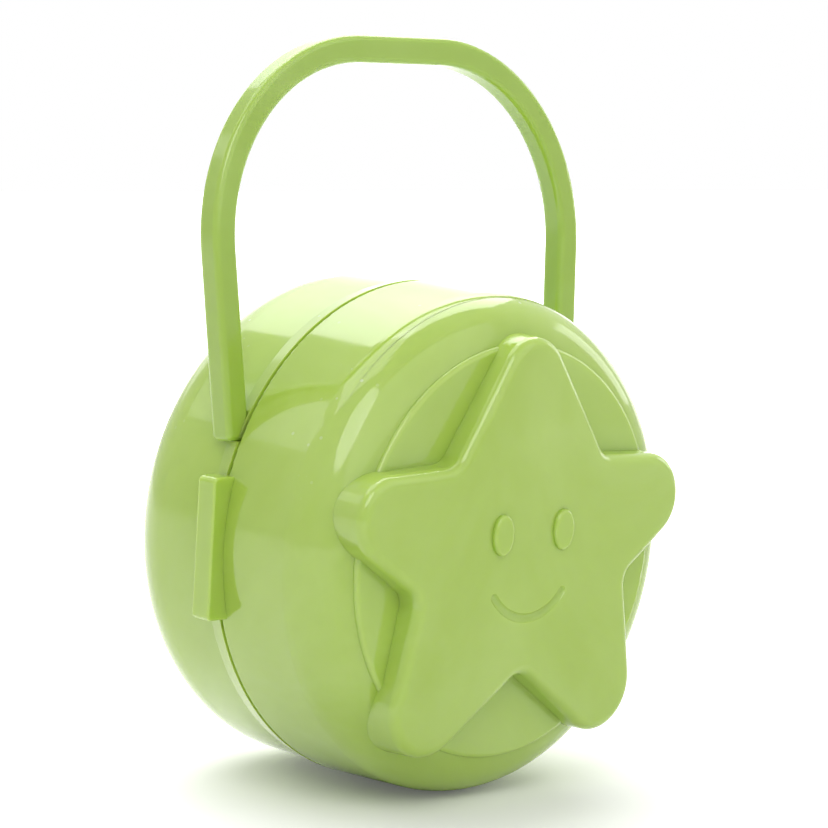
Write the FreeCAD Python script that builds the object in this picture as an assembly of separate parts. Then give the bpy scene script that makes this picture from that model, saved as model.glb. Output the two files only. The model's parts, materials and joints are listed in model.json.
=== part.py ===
"""Round clamshell pacifier case with a carrying handle.

Two moulded half drums meet at a parting plane.  The front half is the lid: it swings
on a pin hinge at the right and carries a puffed star on its raised disc.  A thumb lip
at the left pulls it open.  A bar handle is seated in two sockets of the back half.

Frame, in millimetres: the origin is the centre of the flat back face, +Z is up towards
the handle, and the lid faces -Y.
"""
import FreeCAD
import Part
import math
import os

from FreeCAD import Vector

# Drum; a rim flare or roll is its length along the wall and its rise or drop at the seam
case_diameter = 75.0
wall = 1.6
back_depth = 23.0
back_draft = 0.6
back_round = 10.2
front_depth = 21.3
front_draft = 2.1
front_round = 8.0
seam_gap = 0.2
back_rim_flare = (2.4, 0.4)
front_rim_roll = (0.6, 0.6)

# Raised disc on the lid
disc_diameter = 61.0
disc_height = 0.6
disc_edge_round = 0.75

# Star on the disc: sharp corners of its right half as X and Z from the drum axis,
# with the radius that rounds each one
star_top_tip = (0.0, 37.2, 6.6)
star_upper_notch = (15.4, 14.0, 3.0)
star_side_tip = (46.6, 12.4, 6.6)
star_lower_notch = (21.6, -4.6, 2.6)
star_foot_tip = (28.6, -37.6, 7.2)
star_bottom_notch = (0.0, -17.0, 3.0)
star_height = 3.5
star_draft = 3.0
star_edge_round = 1.6
star_crown = 0.9

# Smiling face on the star
eye_spread = 12.6
eye_rise = 3.6
eye_width = 4.0
eye_length = 6.0
eye_height = 0.7
eye_edge_round = 0.5
smile_radius = 9.0
smile_sweep = 104.0
smile_groove_radius = 0.8
smile_groove_depth = 0.5

# Rim lip of the back half, inside the lid
rim_lip_height = 2.2
rim_lip_thickness = 1.1
rim_lip_clearance = 0.25
rim_root_depth = 3.0

# Thumb lip of the lid
thumb_lip_height = 20.6
thumb_lip_proud = 2.2
thumb_lip_front = 1.6
thumb_lip_overhang = 2.0
thumb_lip_clearance = 0.4
thumb_lip_corner = 0.8
thumb_lip_edge = 0.35

# Hinge
knuckle_radius = 2.2
knuckle_clearance = 0.2
outer_knuckle_length = 4.6
inner_knuckle_length = 8.2
knuckle_gap = 0.3
pin_diameter = 2.0
pin_seat_clearance = 0.02
pin_running_clearance = 0.06
pin_head_diameter = 3.2
pin_head_height = 0.7

# Handle
handle_width = 4.1
handle_depth = 3.9
handle_rise = 36.0
handle_corner_radius = 27.6
handle_leg_splay = 3.8
handle_rake = 6.0
handle_edge_round = 0.9
foot_angle = 22.8
foot_proud = 1.4
foot_clearance = 0.05
socket_wall = 1.3

# Places worked out from the sizes above
case_radius = case_diameter / 2.0
parting_y = -back_depth
back_rim_y = parting_y + seam_gap / 2.0
lid_rim_y = parting_y - seam_gap / 2.0
lid_flat_y = parting_y - front_depth
disc_y = lid_flat_y - disc_height
star_top_y = disc_y - star_height
hinge_x = case_radius + knuckle_radius + knuckle_clearance
hinge_length = 2.0 * (outer_knuckle_length + knuckle_gap) + inner_knuckle_length

same_place = 0.001
axis_y = Vector(0.0, 1.0, 0.0)
axis_z = Vector(0.0, 0.0, 1.0)


def tangent(degrees):
    return math.tan(math.radians(degrees))


def box(x0, x1, y0, y1, z0, z1):
    return Part.makeBox(x1 - x0, y1 - y0, z1 - z0, Vector(x0, y0, z0))


def line(start, end):
    return Part.LineSegment(start, end).toShape()


def spin(edges):
    """Revolve a closed profile, drawn at X = radius, about the drum axis."""
    return Part.Face(Part.Wire(edges)).revolve(Vector(0, 0, 0), axis_y, 360)


def rim_roll_edge(rim, wall_start):
    """Arc from the rim that runs smoothly into the wall."""
    chord = wall_start - rim
    bulge = chord.Length / 2.0 * math.tan(math.atan2(chord.x, abs(chord.y)) / 2.0)
    outward = Vector(abs(chord.y), -math.copysign(chord.x, chord.y), 0).normalize()
    return Part.Arc(rim, rim + chord * 0.5 + outward * bulge, wall_start).toShape()


def half_drum(rim_edges, wall_start, end_y, draft, rounding):
    """Drum half whose rim edges lead to a drafted wall, a round shoulder and a flat end."""
    rim_y = rim_edges[0].Vertexes[0].Y
    side = math.copysign(1.0, end_y - rim_y)
    lean = math.radians(draft)
    middle_lean = (lean + math.pi / 2.0) / 2.0
    shoulder_y = end_y - side * rounding * (1.0 - math.sin(lean))
    shoulder_x = wall_start.x - abs(shoulder_y - wall_start.y) * math.tan(lean)
    shoulder = Vector(shoulder_x, shoulder_y, 0)
    center = Vector(shoulder.x - rounding * math.cos(lean), end_y - side * rounding, 0)
    middle = center + Vector(math.cos(middle_lean), side * math.sin(middle_lean), 0) * rounding
    end = Vector(center.x, end_y, 0)
    end_center = Vector(0, end_y, 0)
    return spin(rim_edges + [
        line(wall_start, shoulder),
        Part.Arc(shoulder, middle, end).toShape(),
        line(end, end_center),
        line(end_center, Vector(0, rim_y, 0)),
    ])


def back_half(inset=0.0):
    """Back half; its wall flares out at the seam to meet the lid's."""
    flare_length, flare_rise = back_rim_flare
    rim = Vector(case_radius - inset, back_rim_y, 0)
    wall_start = rim + Vector(-flare_rise, flare_length, 0)
    rim_edges = [line(Vector(0, back_rim_y, 0), rim), line(rim, wall_start)]
    return half_drum(rim_edges, wall_start, -inset, back_draft, back_round - inset)


def lid_half(inset=0.0, rim_roll=None):
    """Lid half; its outer edge rolls in at the seam."""
    rim = Vector(case_radius - inset, lid_rim_y, 0)
    wall_start = rim
    rolled = []
    if rim_roll:
        roll_length, roll_drop = rim_roll
        wall_start = rim - Vector(roll_length * tangent(front_draft), roll_length, 0)
        rim = rim - Vector(roll_drop, 0, 0)
        rolled = [rim_roll_edge(rim, wall_start)]
    rim_edges = [line(Vector(0, lid_rim_y, 0), rim)] + rolled
    return half_drum(rim_edges, wall_start, lid_flat_y + inset, front_draft, front_round - inset)


def lid_disc():
    """Low disc with a rounded rim, rooted in the lid's front wall."""
    radius = disc_diameter / 2.0
    root_y = lid_flat_y + wall / 2.0
    corner = Vector(radius - disc_edge_round, disc_y + disc_edge_round, 0)
    diagonal = disc_edge_round * math.sqrt(0.5)
    side_top = Vector(radius, corner.y, 0)
    face_rim = Vector(corner.x, disc_y, 0)
    edge = Part.Arc(side_top, corner + Vector(diagonal, -diagonal, 0), face_rim).toShape()
    root_center = Vector(0, root_y, 0)
    root_rim = Vector(radius, root_y, 0)
    face_center = Vector(0, disc_y, 0)
    return spin([
        line(root_center, root_rim),
        line(root_rim, side_top),
        edge,
        line(face_rim, face_center),
        line(face_center, root_center),
    ])


def rounded_outline(corners, radii):
    """Closed wire through the corners, each rounded by a tangent arc."""
    count = len(corners)
    arcs = []
    for index in range(count):
        corner = corners[index]
        before = (corners[index - 1] - corner).normalize()
        after = (corners[(index + 1) % count] - corner).normalize()
        half = before.getAngle(after) / 2.0
        reach = radii[index] / math.tan(half)
        bisector = (before + after).normalize()
        middle = corner + bisector * (radii[index] / math.sin(half) - radii[index])
        arcs.append((corner + before * reach, middle, corner + after * reach))
    edges = []
    for index in range(count):
        start, middle, end = arcs[index]
        edges.append(Part.Arc(start, middle, end).toShape())
        edges.append(line(end, arcs[(index + 1) % count][0]))
    return Part.Wire(edges)


def star_corners():
    """All corners clockwise from the top tip, each as X, Z, radius and whether it is a tip."""
    right = [star_upper_notch, star_side_tip, star_lower_notch, star_foot_tip]
    left = [(-x, z, radius) for x, z, radius in reversed(right)]
    ring = [star_top_tip] + right + [star_bottom_notch] + left
    return [(x, z, radius, index % 2 == 0) for index, (x, z, radius) in enumerate(ring)]


def star_outline(inset, y):
    """Star outline at depth y, drawn in by inset all round."""
    ring = star_corners()
    sharp = [Vector(x, y, z) for x, z, radius, is_tip in ring]
    corners = []
    radii = []
    for index, (x, z, radius, is_tip) in enumerate(ring):
        corner = sharp[index]
        before = (sharp[index - 1] - corner).normalize()
        after = (sharp[(index + 1) % len(sharp)] - corner).normalize()
        half = before.getAngle(after) / 2.0
        inward = (before + after).normalize() * (1.0 if is_tip else -1.0)
        corners.append(corner + inward * (inset / math.sin(half)))
        radii.append(radius - inset if is_tip else radius + inset)
    return rounded_outline(corners, radii)


def star_solid(root_y, inset):
    """Drafted star with a crowned top; inset gives the hollow inside it."""
    top_y = star_top_y - star_crown + inset
    crown_reach = disc_diameter / 2.0
    crown_radius = (crown_reach ** 2 + star_crown ** 2) / (2.0 * star_crown)
    taper = tangent(star_draft)
    low = star_outline(inset - (root_y - disc_y) * taper, root_y)
    high = star_outline(inset + (disc_y - top_y) * taper, top_y)
    prism = Part.makeLoft([low, high], True, True)
    crown_center = Vector(0, top_y + crown_radius, 0)
    return prism.common(Part.makeSphere(crown_radius, crown_center)), crown_center, crown_radius


def puffed_star():
    """The star with its rim rounded over."""
    star, crown_center, crown_radius = star_solid(lid_flat_y + front_round, 0.0)
    rim = []
    for edge in star.Edges:
        middle = edge.valueAt((edge.FirstParameter + edge.LastParameter) / 2.0)
        if abs(middle.distanceToPoint(crown_center) - crown_radius) < same_place:
            rim.append(edge)
    return star.makeFillet(star_edge_round, rim)


def eye(side):
    """Low oval dome on the star's crowned top."""
    place = Vector(side * eye_spread / 2.0, star_top_y - star_crown + wall / 2.0, eye_rise)
    oval = Part.Ellipse(
        place + Vector(0, 0, eye_length / 2.0), place + Vector(eye_width / 2.0, 0, 0), place)
    rise = Vector(0, -(wall / 2.0 + eye_height), 0)
    dome = Part.Face(Part.Wire([oval.toShape()])).extrude(rise)
    top_y = place.y + rise.y
    top_edges = [edge for edge in dome.Edges if abs(edge.CenterOfMass.y - top_y) < same_place]
    return dome.makeFillet(eye_edge_round, top_edges)


def smile():
    """Round-bottomed groove along an arc, with round ends."""
    tube_y = star_top_y - star_crown - smile_groove_radius + smile_groove_depth
    center = Vector(0, tube_y, 0)
    start_angle = -math.pi / 2.0 - math.radians(smile_sweep) / 2.0
    start = center + Vector(math.cos(start_angle), 0, math.sin(start_angle)) * smile_radius
    along = Vector(-math.sin(start_angle), 0, math.cos(start_angle))
    section = Part.Face(Part.Wire([Part.Circle(start, along, smile_groove_radius).toShape()]))
    groove = section.revolve(center, -axis_y, smile_sweep)
    end_angle = start_angle + math.radians(smile_sweep)
    end = center + Vector(math.cos(end_angle), 0, math.sin(end_angle)) * smile_radius
    return [groove, Part.makeSphere(smile_groove_radius, start), Part.makeSphere(smile_groove_radius, end)]


def knuckle(z0, z1, side):
    """Hinge barrel with its web to the drum; side is +1 on the back half, -1 on the lid."""
    barrel = Part.makeCylinder(knuckle_radius, z1 - z0, Vector(hinge_x, parting_y, z0), axis_z)
    rim_y = parting_y + side * seam_gap / 2.0
    far_y = parting_y + side * knuckle_radius
    web = box(case_radius - 2.0 * wall, hinge_x, min(rim_y, far_y), max(rim_y, far_y), z0, z1)
    return barrel.fuse(web)


def hinge_bore(z0, z1, clearance):
    return Part.makeCylinder(
        pin_diameter / 2.0 + clearance, z1 - z0, Vector(hinge_x, parting_y, z0), axis_z)


def handle_points():
    """Centre line of the right half of the handle, in its own flat plane."""
    foot = Vector(
        (case_radius + foot_proud) * math.cos(math.radians(foot_angle)) - handle_width / 2.0, 0,
        (case_radius + foot_proud) * math.sin(math.radians(foot_angle)))
    splay = math.radians(handle_leg_splay)
    top_z = case_radius + handle_rise - handle_width / 2.0
    center_z = top_z - handle_corner_radius
    leg_top_z = center_z - handle_corner_radius * math.sin(splay)
    leg_top_x = foot.x + (leg_top_z - foot.z) * math.tan(splay)
    center = Vector(leg_top_x - handle_corner_radius * math.cos(splay), 0, center_z)
    return foot, center


def handle_half_outline(offset, foot_drop):
    """Foot, leg top, arc middle and arc end, moved out from the centre line by offset."""
    foot, center = handle_points()
    splay = math.radians(handle_leg_splay)
    radius = handle_corner_radius + offset
    outward = Vector(math.cos(splay), 0, -math.sin(splay))
    middle_angle = (math.pi / 2.0 - splay) / 2.0
    leg_top = center + outward * radius
    drop = (leg_top.z - foot.z + foot_drop) / math.cos(splay)
    end = leg_top - Vector(math.sin(splay), 0, math.cos(splay)) * drop
    arc_middle = center + Vector(math.cos(middle_angle), 0, math.sin(middle_angle)) * radius
    arc_end = center + Vector(0, 0, radius)
    return end, leg_top, arc_middle, arc_end


def mirrored(point):
    return Vector(-point.x, point.y, point.z)


def handle_blank(grow, rounding):
    """Flat arch of even width, raked back about the feet; grow widens it on every side."""
    outer = handle_half_outline(handle_width / 2.0 + grow, grow)
    inner = handle_half_outline(-handle_width / 2.0 - grow, grow)
    edges = []
    for end, leg_top, arc_middle, arc_end in (outer, inner):
        edges.append(line(end, leg_top))
        edges.append(Part.Arc(leg_top, arc_middle, arc_end).toShape())
        edges.append(line(arc_end, mirrored(arc_end)))
        edges.append(Part.Arc(mirrored(arc_end), mirrored(arc_middle), mirrored(leg_top)).toShape())
        edges.append(line(mirrored(leg_top), mirrored(end)))
    edges.append(line(outer[0], inner[0]))
    edges.append(line(mirrored(outer[0]), mirrored(inner[0])))
    outline = Part.Face(Part.Wire(Part.__sortEdges__(edges)))
    bar = outline.extrude(Vector(0, handle_depth + 2.0 * grow, 0))
    if rounding > 0.0:
        bar = bar.makeFillet(rounding, bar.Edges)
    bar.translate(Vector(0, back_rim_y - grow, 0))
    foot, center = handle_points()
    bar.rotate(Vector(0, back_rim_y, foot.z), Vector(1, 0, 0), -handle_rake)
    return bar


def foot_sockets():
    """Blocks inside the back half that carry the handle's feet."""
    foot, center = handle_points()
    blocks = handle_blank(socket_wall, 0.0)
    reach = 2.0 * case_radius
    below = box(-reach, reach, back_rim_y, 0.0, -reach, foot.z + handle_width + socket_wall)
    return blocks.common(below).common(back_half(wall / 2.0))


def build_back_shell():
    cavity = back_half(wall)
    lip_outer = case_radius - wall - rim_lip_clearance
    lip_inner = lip_outer - rim_lip_thickness
    lip_top = parting_y - rim_lip_height
    root_y = back_rim_y + rim_root_depth
    lip = spin([
        line(Vector(lip_inner, lip_top, 0), Vector(lip_outer, lip_top, 0)),
        line(Vector(lip_outer, lip_top, 0), Vector(lip_outer, back_rim_y, 0)),
        line(Vector(lip_outer, back_rim_y, 0), Vector(case_radius - wall / 2.0, back_rim_y, 0)),
        line(Vector(case_radius - wall / 2.0, back_rim_y, 0), Vector(case_radius - wall / 2.0, root_y, 0)),
        line(Vector(case_radius - wall / 2.0, root_y, 0), Vector(case_radius - wall, root_y, 0)),
        line(Vector(case_radius - wall, root_y, 0), Vector(lip_inner, back_rim_y, 0)),
        line(Vector(lip_inner, back_rim_y, 0), Vector(lip_inner, lip_top, 0)),
    ])
    shell = back_half().cut(cavity).fuse([lip, foot_sockets()])
    half_inner = inner_knuckle_length / 2.0 + knuckle_gap
    half_hinge = hinge_length / 2.0
    for z0, z1 in ((half_inner, half_hinge), (-half_hinge, -half_inner)):
        shell = shell.fuse(knuckle(z0, z1, 1).cut(cavity))
    shell = shell.cut(hinge_bore(-half_hinge + wall, half_hinge, pin_seat_clearance))
    return shell.cut(handle_blank(foot_clearance, 0.0)).removeSplitter()


def thumb_lip():
    """Block across the seam, clear of the back half, with rounded outer edges."""
    half = thumb_lip_height / 2.0
    outer_x = -case_radius - thumb_lip_proud
    front_y = parting_y - thumb_lip_front
    back_y = parting_y + thumb_lip_overhang
    block = box(outer_x, -case_radius + half, front_y, back_y, -half, half)
    corners = []
    for edge in block.Edges:
        center = edge.CenterOfMass
        if abs(center.x - outer_x) < same_place and abs(abs(center.z) - half) < same_place:
            corners.append(edge)
    block = block.makeFillet(thumb_lip_corner, corners)
    rims = []
    for edge in block.Edges:
        center = edge.CenterOfMass
        if center.x < -case_radius and min(abs(center.y - back_y), abs(center.y - front_y)) < same_place:
            rims.append(edge)
    block = block.makeFillet(thumb_lip_edge, rims)
    behind = Part.makeCylinder(
        case_radius + thumb_lip_clearance, back_depth + seam_gap / 2.0, Vector(0, lid_rim_y, 0), axis_y)
    return block.cut(behind)


def build_front_shell():
    cavity = lid_half(wall)
    star_hollow = star_solid(lid_flat_y + front_round, wall)[0]
    half_inner = inner_knuckle_length / 2.0
    lid_knuckle = knuckle(-half_inner, half_inner, -1)
    shell = lid_half(0.0, front_rim_roll).fuse([lid_disc(), thumb_lip(), lid_knuckle])
    shell = shell.fuse(puffed_star()).fuse([eye(-1), eye(1)])
    shell = shell.cut([cavity, star_hollow])
    shell = shell.cut(smile())
    return shell.cut(hinge_bore(-half_inner, half_inner, pin_running_clearance))


def build_hinge_pin():
    half_hinge = hinge_length / 2.0
    length = hinge_length - wall
    shank = Part.makeCylinder(
        pin_diameter / 2.0, length, Vector(hinge_x, parting_y, half_hinge - length), axis_z)
    head = Part.makeCylinder(
        pin_head_diameter / 2.0, pin_head_height, Vector(hinge_x, parting_y, half_hinge), axis_z)
    top_z = half_hinge + pin_head_height
    top_edges = [edge for edge in head.Edges if abs(edge.CenterOfMass.z - top_z) < same_place]
    return shank.fuse(head.makeFillet(pin_head_height / 2.0, top_edges)).removeSplitter()


def build_handle():
    return handle_blank(0.0, handle_edge_round)


def main():
    os.makedirs("parts", exist_ok=True)
    pieces = {
        "back_shell": build_back_shell(),
        "front_shell": build_front_shell(),
        "handle": build_handle(),
        "hinge_pin": build_hinge_pin(),
    }
    for name, shape in pieces.items():
        solid = shape.Solids[0] if len(shape.Solids) == 1 else shape
        solid.exportStep("parts/" + name + ".step")
        print(name, "solids", len(shape.Solids), "valid", shape.isValid(), "volume", round(shape.Volume, 1))


main()
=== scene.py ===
"""Looks of the round pacifier case with a star on its lid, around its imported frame.

Lengths are metres in the frame of the part: the origin is the centre of the flat back
face, +Z is up towards the handle and the lid faces -Y.
"""
import json
import math

import bmesh
import bpy
from mathutils import Matrix, Vector
from mathutils.bvhtree import BVHTree


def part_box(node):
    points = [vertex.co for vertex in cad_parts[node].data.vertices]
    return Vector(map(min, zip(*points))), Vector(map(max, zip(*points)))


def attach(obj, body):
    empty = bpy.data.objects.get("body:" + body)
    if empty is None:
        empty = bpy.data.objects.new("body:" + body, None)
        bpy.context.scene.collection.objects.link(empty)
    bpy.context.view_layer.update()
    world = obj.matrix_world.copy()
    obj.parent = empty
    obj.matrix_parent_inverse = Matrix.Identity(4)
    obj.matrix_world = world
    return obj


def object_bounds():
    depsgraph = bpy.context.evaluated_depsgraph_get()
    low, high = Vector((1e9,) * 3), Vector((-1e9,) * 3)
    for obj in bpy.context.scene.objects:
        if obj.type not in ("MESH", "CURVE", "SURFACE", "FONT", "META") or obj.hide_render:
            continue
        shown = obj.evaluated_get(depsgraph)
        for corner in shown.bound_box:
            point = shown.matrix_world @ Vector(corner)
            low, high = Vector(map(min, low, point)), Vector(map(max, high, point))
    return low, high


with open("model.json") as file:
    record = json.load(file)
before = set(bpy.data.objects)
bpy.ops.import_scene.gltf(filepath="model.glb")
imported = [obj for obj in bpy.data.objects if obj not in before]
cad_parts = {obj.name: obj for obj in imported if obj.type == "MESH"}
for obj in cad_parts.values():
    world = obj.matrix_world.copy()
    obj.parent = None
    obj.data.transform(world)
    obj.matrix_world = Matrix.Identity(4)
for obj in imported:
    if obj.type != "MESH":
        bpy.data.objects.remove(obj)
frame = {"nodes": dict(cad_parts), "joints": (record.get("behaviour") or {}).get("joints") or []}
cad_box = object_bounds()

MM = 0.001

# Camera, as the photograph was taken
PHOTO_SIDE = 828
FOCAL_PIXELS = 3300.0
SENSOR = 36.0
VIEW_AZIMUTH = math.radians(-44.28)
VIEW_ELEVATION = math.radians(10.65)
CASE_LEAN = math.radians(4.7)
VIEW_DISTANCE = 495.0 * MM
VIEW_RIGHT = 1.406 * MM
VIEW_UP = 17.15 * MM

# Colours, linear
CASE_GREEN = (0.400, 0.570, 0.080)
HANDLE_GREEN = (0.340, 0.510, 0.052)
DUST_GREY = (0.70, 0.74, 0.60)
TABLE_WHITE = (0.82, 0.82, 0.82)

# Glossy plastic: streaks, gloss, orange-peel ripple and light that goes a little way in
FLOW_TINT = 0.06
GLOSS_SMOOTH = 0.06
GLOSS_RUBBED = 0.16
RIPPLE_STRENGTH = 0.06
RIPPLE_DEPTH = 0.05 * MM
PLASTIC_IOR = 1.56
INNER_LIGHT = 0.6
INNER_LIGHT_COLOUR = (1.0, 1.0, 0.6)
INNER_LIGHT_DEPTH = 2.5 * MM
REAL_EDGE = math.radians(30.0)

# Dust: specks in cells, on some patches only and fainter on steeper faces
SPECK_CELLS = 520.0
SPECK_CORE = 0.10
SPECK_RIM = 0.16
DUST_PATCHES = 90.0
DUST_COVER = 0.45

# Fine line left by the mould on the lid's shoulder, plain at the top and fading out down the sides
MOULD_LINE_FROM_SEAM = 16.0 * MM
MOULD_LINE_WIDTH = 0.30 * MM
MOULD_LINE_PROUD = 0.06 * MM
MOULD_LINE_SUNK = 0.10 * MM
MOULD_LINE_FADE = 0.13 * MM
MOULD_LINE_STEPS = 360
SHOULDER_PROBES = (20.0, 50.0, 130.0, 160.0, 200.0, 340.0)

# Studio: white to the eye and in the gloss, with a softer even fill
WHITE_LEVEL = 1.0
FILL_LEVEL = 0.38

# White table: its reach from the origin to each side
TABLE_LEFT = 1.0
TABLE_RIGHT = 1.5
TABLE_BEFORE = 0.50
TABLE_BEHIND = 1.0

# Glow of the table to the eye, white far off; faint in a pool round the case, which paints a darker shadow
# there on top of the real one
PAINTED_SHADOW_FORWARD = 0.009
PAINTED_SHADOW_ASIDE = 0.008
PAINTED_SHADOW_NEAR = 0.008
PAINTED_SHADOW_FAR = 0.072
PAINTED_SHADOW_GLOW = 0.10
TABLE_GLOW = 0.48
TABLE_FADE_START = 0.13
TABLE_FADE_END = 0.26

# Glow of the table in the gloss only, a painted reflection: none about the patch before the lid, nor under
# the case
MIRROR_DARK = (0.200, -0.300)
MIRROR_NEAR = 0.220
MIRROR_FAR = 0.390
MIRROR_CLEAR = 0.042
MIRROR_GLOW = 0.70

# Large sheet light behind the case, level along X, leaning towards the case and dim at its foot
BACK_PANEL_WAY = Vector((0.0, 0.77, 0.64))
BACK_PANEL_REACH = 1.2
BACK_PANEL_RIGHT = 0.75
BACK_PANEL_RAISED = 0.27
BACK_PANEL_WIDTH = 1.38
BACK_PANEL_HEIGHT = 1.86
BACK_PANEL_BRIGHTNESS = 3.6
BACK_PANEL_FOOT = 0.26
BACK_PANEL_FADE_START = 0.18
BACK_PANEL_FADE_END = 0.52


def node_tree(owner):
    """Emptied node tree of a material, world or light."""
    owner.use_nodes = True
    owner.node_tree.nodes.clear()
    return owner.node_tree


def add(tree, kind, **settings):
    """New node; a setting whose name is an input's is written to that input."""
    node = tree.nodes.new(kind)
    for name, value in settings.items():
        label = name.replace("_", " ")
        socket = next((s for s in node.inputs if s.name.lower() == label.lower()), None)
        if socket is None:
            setattr(node, name, value)
        else:
            socket.default_value = value
    return node


def ramp(tree, value, start, end, low=0.0, high=1.0, kind="LINEAR"):
    """A value's way from low, at start, to high, at end."""
    node = add(tree, "ShaderNodeMapRange", interpolation_type=kind,
               from_min=start, from_max=end, to_min=low, to_max=high)
    tree.links.new(value, node.inputs["Value"])
    return node.outputs["Result"]


def smooth_ramp(tree, value, start, end, low=0.0, high=1.0):
    return ramp(tree, value, start, end, low, high, "SMOOTHSTEP")


def combined(tree, operation, first, second):
    """Two values put together by a math operation."""
    node = add(tree, "ShaderNodeMath", operation=operation)
    tree.links.new(first, node.inputs[0])
    tree.links.new(second, node.inputs[1])
    return node.outputs["Value"]


def noise(tree, place, **settings):
    node = add(tree, "ShaderNodeTexNoise", **settings)
    tree.links.new(place, node.inputs["Vector"])
    return node.outputs["Fac"]


def one_axis(tree, vector, axis):
    """One component of a vector."""
    node = add(tree, "ShaderNodeSeparateXYZ")
    tree.links.new(vector, node.inputs["Vector"])
    return node.outputs[axis]


def distance_from(tree, point):
    """Distance of the shaded place from a point."""
    geometry = add(tree, "ShaderNodeNewGeometry")
    node = add(tree, "ShaderNodeVectorMath", operation="DISTANCE")
    node.inputs[1].default_value = point
    tree.links.new(geometry.outputs["Position"], node.inputs[0])
    return node.outputs["Value"]


def dust_specks(tree, place):
    """Mask of sparse specks that lie on upward faces."""
    cells = add(tree, "ShaderNodeTexVoronoi", scale=SPECK_CELLS)
    tree.links.new(place, cells.inputs["Vector"])
    speck = ramp(tree, cells.outputs["Distance"], SPECK_CORE, SPECK_RIM, low=1.0, high=0.0)
    patch = ramp(tree, noise(tree, place, scale=DUST_PATCHES, detail=2.0), 0.58, 0.66)
    normal = add(tree, "ShaderNodeNewGeometry").outputs["Normal"]
    upward = ramp(tree, one_axis(tree, normal, "Z"), 0.15, 0.70, high=DUST_COVER)
    return combined(tree, "MULTIPLY", combined(tree, "MULTIPLY", speck, patch), upward)


def flow_streaks(tree, place, colour):
    """Colour with the faint paler and deeper streaks of the moulding's flow."""
    tint = add(tree, "ShaderNodeValToRGB")
    pale = [c + (1.0 - c) * FLOW_TINT for c in colour]
    deep = [c * (1.0 - FLOW_TINT) for c in colour]
    tint.color_ramp.elements[0].position = 0.30
    tint.color_ramp.elements[0].color = (*deep, 1.0)
    tint.color_ramp.elements[1].position = 0.70
    tint.color_ramp.elements[1].color = (*pale, 1.0)
    flow = noise(tree, place, scale=28.0, detail=4.0, roughness=0.55, distortion=0.8)
    tree.links.new(flow, tint.inputs["Fac"])
    return tint.outputs["Color"]


def gloss_plastic(name, colour):
    """Glossy moulded plastic: faint flow streaks, orange-peel ripple, dust and fine rubs."""
    material = bpy.data.materials.new(name)
    tree = node_tree(material)
    link = tree.links.new
    place = add(tree, "ShaderNodeTexCoord").outputs["Object"]

    dusted = add(tree, "ShaderNodeMixRGB")
    dusted.inputs["Color2"].default_value = (*DUST_GREY, 1.0)
    link(dust_specks(tree, place), dusted.inputs["Fac"])
    link(flow_streaks(tree, place, colour), dusted.inputs["Color1"])

    rubs = noise(tree, place, scale=220.0, detail=6.0, roughness=0.7)
    gloss = ramp(tree, rubs, 0.35, 0.80, low=GLOSS_SMOOTH, high=GLOSS_RUBBED)

    peel = add(tree, "ShaderNodeBump", strength=RIPPLE_STRENGTH, distance=RIPPLE_DEPTH)
    link(noise(tree, place, scale=160.0, detail=2.0, roughness=0.5), peel.inputs["Height"])

    shader = add(tree, "ShaderNodeBsdfPrincipled", ior=PLASTIC_IOR, subsurface_weight=INNER_LIGHT,
                 subsurface_radius=INNER_LIGHT_COLOUR, subsurface_scale=INNER_LIGHT_DEPTH)
    link(dusted.outputs["Color"], shader.inputs["Base Color"])
    link(gloss, shader.inputs["Roughness"])
    link(peel.outputs["Normal"], shader.inputs["Normal"])
    surface = add(tree, "ShaderNodeOutputMaterial")
    link(shader.outputs["BSDF"], surface.inputs["Surface"])
    return material


def dress(node, material):
    """Give a CAD node its material and smooth shading between its real edges."""
    piece = frame["nodes"][node]
    piece.data.materials.clear()
    piece.data.materials.append(material)
    piece.data.shade_smooth()
    piece.data.set_sharp_from_angle(angle=REAL_EDGE)


def shoulder_radius(surface, depth):
    """Radius of the lid's shoulder at a depth, the least of some probes, so clear of what stands on it."""
    outside = cad_box[1].z - cad_box[0].z
    radii = []
    for angle in SHOULDER_PROBES:
        way = Vector((math.cos(math.radians(angle)), 0.0, math.sin(math.radians(angle))))
        hit = surface.ray_cast(way * outside + Vector((0.0, depth, 0.0)), -way)[0]
        radii.append(math.hypot(hit.x, hit.z))
    return min(radii)


def mould_line(material):
    """Fine raised line round the lid's shoulder, as wide as a hair and hardly proud."""
    lid = frame["nodes"]["front_shell"]
    surface = BVHTree.FromObject(lid, bpy.context.evaluated_depsgraph_get())
    middle = Vector(frame["joints"][0]["pos_m"]).y - MOULD_LINE_FROM_SEAM
    half = MOULD_LINE_WIDTH / 2.0
    section = ((-half, -MOULD_LINE_SUNK), (-half / 2.0, MOULD_LINE_PROUD / 2.0), (0.0, MOULD_LINE_PROUD),
               (half / 2.0, MOULD_LINE_PROUD / 2.0), (half, -MOULD_LINE_SUNK))
    ring = bmesh.new()
    rows = []
    for offset, proud in section:
        depth = middle + offset
        radius = shoulder_radius(surface, depth) + proud
        row = []
        for step in range(MOULD_LINE_STEPS):
            turn = 2.0 * math.pi * step / MOULD_LINE_STEPS
            reach = radius - MOULD_LINE_FADE * (1.0 - math.sin(turn))
            row.append(ring.verts.new((reach * math.cos(turn), depth, reach * math.sin(turn))))
        rows.append(row)
    for lower, upper in zip(rows, rows[1:] + rows[:1]):
        for step in range(MOULD_LINE_STEPS):
            after = (step + 1) % MOULD_LINE_STEPS
            ring.faces.new((lower[step], lower[after], upper[after], upper[step]))
    bmesh.ops.recalc_face_normals(ring, faces=ring.faces)
    mesh = bpy.data.meshes.new("lid_mould_line")
    ring.to_mesh(mesh)
    ring.free()
    mesh.shade_smooth()
    mesh.materials.append(material)
    line = bpy.data.objects.new("lid_mould_line", mesh)
    bpy.context.scene.collection.objects.link(line)
    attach(line, "lid")


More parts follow.
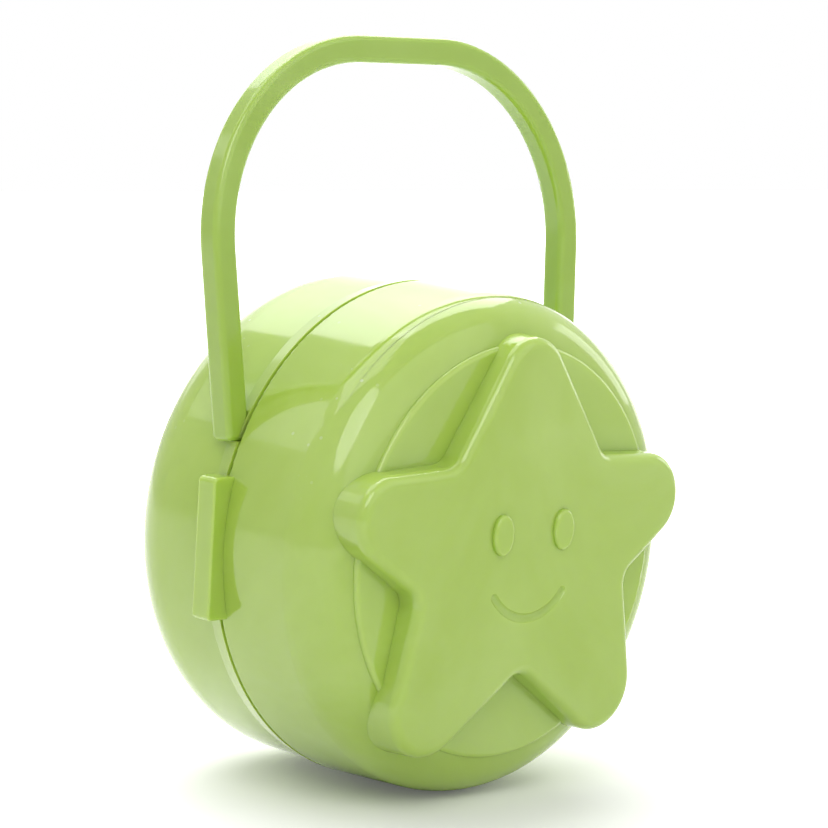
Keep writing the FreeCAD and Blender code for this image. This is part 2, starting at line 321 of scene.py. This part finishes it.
def camera_axes():
    """Right, up and backward directions of the camera in the part's frame."""
    a, e = VIEW_AZIMUTH, VIEW_ELEVATION
    right = Vector((math.cos(a), math.sin(a), 0.0))
    up = Vector((-math.sin(a) * math.sin(e), math.cos(a) * math.sin(e), math.cos(e)))
    back = Vector((math.sin(a) * math.cos(e), -math.cos(a) * math.cos(e), math.sin(e)))
    lean = Matrix.Rotation(-CASE_LEAN, 3, "Y")
    return lean @ right, lean @ up, lean @ back


def make_camera():
    right, up, back = camera_axes()
    seam_centre = Vector(frame["joints"][0]["pos_m"])
    seam_centre.x = 0.0
    data = bpy.data.cameras.new("camera")
    data.sensor_width = SENSOR
    data.lens = SENSOR * FOCAL_PIXELS / PHOTO_SIDE
    camera = bpy.data.objects.new("camera", data)
    turn = Matrix((right, up, back)).transposed().to_4x4()
    place = seam_centre + right * VIEW_RIGHT + up * VIEW_UP + back * VIEW_DISTANCE
    camera.matrix_world = Matrix.Translation(place) @ turn
    bpy.context.scene.collection.objects.link(camera)
    bpy.context.scene.camera = camera


def painted_shadow_centre():
    """Point on the table under the case's front, on the camera's side, where its shadow is deepest: the
    middle of the painted shadow, where the table's glow is faintest.
    """
    back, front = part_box("back_shell"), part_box("front_shell")
    right, _, toward = camera_axes()
    shift = Vector((toward.x, toward.y, 0.0)).normalized() * PAINTED_SHADOW_FORWARD
    shift += Vector((right.x, right.y, 0.0)).normalized() * PAINTED_SHADOW_ASIDE
    return (shift.x, (back[1].y + front[0].y) / 2.0 + shift.y, cad_box[0].z)


def glow_with_painted_shadow(tree, path, from_painted_shadow):
    """Glow that whitens the table to the eye; weaker round the case, which paints a shadow there and lets
    its real shadow show.
    """
    # Painted shadow: the glow is faint in a pool about a fixed point under the case
    near = smooth_ramp(tree, from_painted_shadow, PAINTED_SHADOW_NEAR, PAINTED_SHADOW_FAR, PAINTED_SHADOW_GLOW, TABLE_GLOW)
    far = smooth_ramp(tree, from_painted_shadow, TABLE_FADE_START, TABLE_FADE_END, high=WHITE_LEVEL - TABLE_GLOW)
    plain = combined(tree, "ADD", near, far)
    seen = combined(tree, "MAXIMUM", path.outputs["Is Camera Ray"], path.outputs["Is Transmission Ray"])
    return combined(tree, "MULTIPLY", seen, plain)


def painted_reflection_glow(tree, path, from_painted_shadow):
    """Glow seen only in the gloss, a painted reflection in the plastic, none about the patch before the
    lid, nor under the case.
    """
    # Painted reflection: this glow shows only in the plastic's gloss, not to the eye
    from_dark = distance_from(tree, (*MIRROR_DARK, cad_box[0].z))
    mirror = smooth_ramp(tree, from_dark, MIRROR_NEAR, MIRROR_FAR, high=MIRROR_GLOW)
    clear = smooth_ramp(tree, from_painted_shadow, PAINTED_SHADOW_NEAR, MIRROR_CLEAR)
    bright = combined(tree, "MULTIPLY", mirror, clear)
    return combined(tree, "MULTIPLY", path.outputs["Is Glossy Ray"], bright)


def table_material():
    """Pale paint that takes the real shadows, with the table's glow added, which paints a shadow round the
    case and a reflection in the gloss.
    """
    material = bpy.data.materials.new("table_white")
    tree = node_tree(material)
    link = tree.links.new
    paint = add(tree, "ShaderNodeBsdfDiffuse", color=(*TABLE_WHITE, 1.0))
    path = add(tree, "ShaderNodeLightPath")
    from_painted_shadow = distance_from(tree, painted_shadow_centre())
    to_eye = glow_with_painted_shadow(tree, path, from_painted_shadow)
    in_gloss = painted_reflection_glow(tree, path, from_painted_shadow)
    glow = add(tree, "ShaderNodeEmission")
    link(combined(tree, "ADD", to_eye, in_gloss), glow.inputs["Strength"])
    both = add(tree, "ShaderNodeAddShader")
    link(paint.outputs["BSDF"], both.inputs[0])
    link(glow.outputs["Emission"], both.inputs[1])
    surface = add(tree, "ShaderNodeOutputMaterial")
    link(both.outputs["Shader"], surface.inputs["Surface"])
    return material


def make_table():
    """White sheet that the case stands on."""
    bottom = cad_box[0].z
    corners = [(-TABLE_LEFT, -TABLE_BEFORE, bottom), (TABLE_RIGHT, -TABLE_BEFORE, bottom),
               (TABLE_RIGHT, TABLE_BEHIND, bottom), (-TABLE_LEFT, TABLE_BEHIND, bottom)]
    mesh = bpy.data.meshes.new("table")
    mesh.from_pydata(corners, [], [(0, 1, 2, 3)])
    table = bpy.data.objects.new("table", mesh)
    table.data.materials.append(table_material())
    bpy.context.scene.collection.objects.link(table)


def make_world():
    """White all round to the eye and in the gloss; a softer even fill for the light."""
    world = bpy.data.worlds.new("studio")
    bpy.context.scene.world = world
    tree = node_tree(world)
    path = add(tree, "ShaderNodeLightPath")
    through = combined(tree, "MAXIMUM", path.outputs["Is Camera Ray"], path.outputs["Is Transmission Ray"])
    seen = combined(tree, "MAXIMUM", through, path.outputs["Is Glossy Ray"])
    background = add(tree, "ShaderNodeBackground", color=(1.0, 1.0, 1.0, 1.0))
    level = ramp(tree, seen, 0.0, 1.0, low=FILL_LEVEL, high=WHITE_LEVEL)
    tree.links.new(level, background.inputs["Strength"])
    surface = add(tree, "ShaderNodeOutputWorld")
    tree.links.new(background.outputs["Background"], surface.inputs["Surface"])


def softbox(name, place, aim, width, height, brightness, shape="RECTANGLE"):
    """Area light that shines from a place towards a point."""
    lamp = bpy.data.lights.new(name, "AREA")
    lamp.shape = shape
    lamp.size = width
    lamp.size_y = height
    lamp.energy = brightness * math.pi * width * height
    box = bpy.data.objects.new(name, lamp)
    box.visible_camera = False
    turn = (aim - place).to_track_quat("-Z", "Y").to_matrix()
    box.matrix_world = Matrix.Translation(place) @ turn.to_4x4()
    bpy.context.scene.collection.objects.link(box)
    return lamp


def aimed_softbox(name, azimuth, elevation, reach, width, height, brightness, shape="RECTANGLE"):
    """Softbox seen from the case's middle at an azimuth and elevation, in degrees."""
    a, e = math.radians(azimuth), math.radians(elevation)
    middle = (cad_box[0] + cad_box[1]) / 2.0
    way = Vector((math.sin(a) * math.cos(e), -math.cos(a) * math.cos(e), math.sin(e)))
    softbox(name, middle + way * reach, middle, width, height, brightness, shape)


def back_panel():
    """The sheet light behind the case, whose brightness falls off towards its foot."""
    middle = (cad_box[0] + cad_box[1]) / 2.0
    way = BACK_PANEL_WAY
    up = Vector((0.0, -way.z, way.y))
    place = middle + way * BACK_PANEL_REACH + up * BACK_PANEL_RAISED + Vector((BACK_PANEL_RIGHT, 0.0, 0.0))
    lamp = softbox("back_panel", place, place - way, BACK_PANEL_WIDTH, BACK_PANEL_HEIGHT,
                   BACK_PANEL_BRIGHTNESS)
    tree = node_tree(lamp)
    across = add(tree, "ShaderNodeNewGeometry").outputs["Parametric"]
    level = smooth_ramp(tree, one_axis(tree, across, "Y"), BACK_PANEL_FADE_START, BACK_PANEL_FADE_END,
                        low=BACK_PANEL_FOOT)
    glow = add(tree, "ShaderNodeEmission")
    tree.links.new(level, glow.inputs["Strength"])
    surface = add(tree, "ShaderNodeOutputLight")
    tree.links.new(glow.outputs["Emission"], surface.inputs["Surface"])


def light_studio():
    aimed_softbox("key_softbox", azimuth=-49.0, elevation=42.0, reach=0.90,
                  width=0.44, height=0.60, brightness=2.6, shape="ELLIPSE")
    back_panel()
    aimed_softbox("back_sweep", azimuth=130.0, elevation=5.0, reach=1.30,
                  width=1.40, height=0.28, brightness=1.0)
    aimed_softbox("right_softbox", azimuth=84.0, elevation=16.0, reach=1.00,
                  width=0.30, height=0.40, brightness=2.0)
    aimed_softbox("front_panel", azimuth=5.0, elevation=34.0, reach=1.00,
                  width=1.40, height=0.90, brightness=0.72)
    aimed_softbox("top_panel", azimuth=-140.0, elevation=69.0, reach=0.90,
                  width=0.60, height=0.60, brightness=1.9)
    aimed_softbox("window", azimuth=-144.0, elevation=33.0, reach=1.00,
                  width=0.40, height=0.26, brightness=1.0)


case_plastic = gloss_plastic("case_green_plastic", CASE_GREEN)
handle_plastic = gloss_plastic("handle_green_plastic", HANDLE_GREEN)
dress("back_shell", case_plastic)
dress("front_shell", case_plastic)
dress("handle", handle_plastic)
dress("hinge_pin", handle_plastic)
mould_line(case_plastic)

make_table()
make_world()
make_camera()
light_studio()
bpy.context.scene.view_settings.view_transform = "Standard"
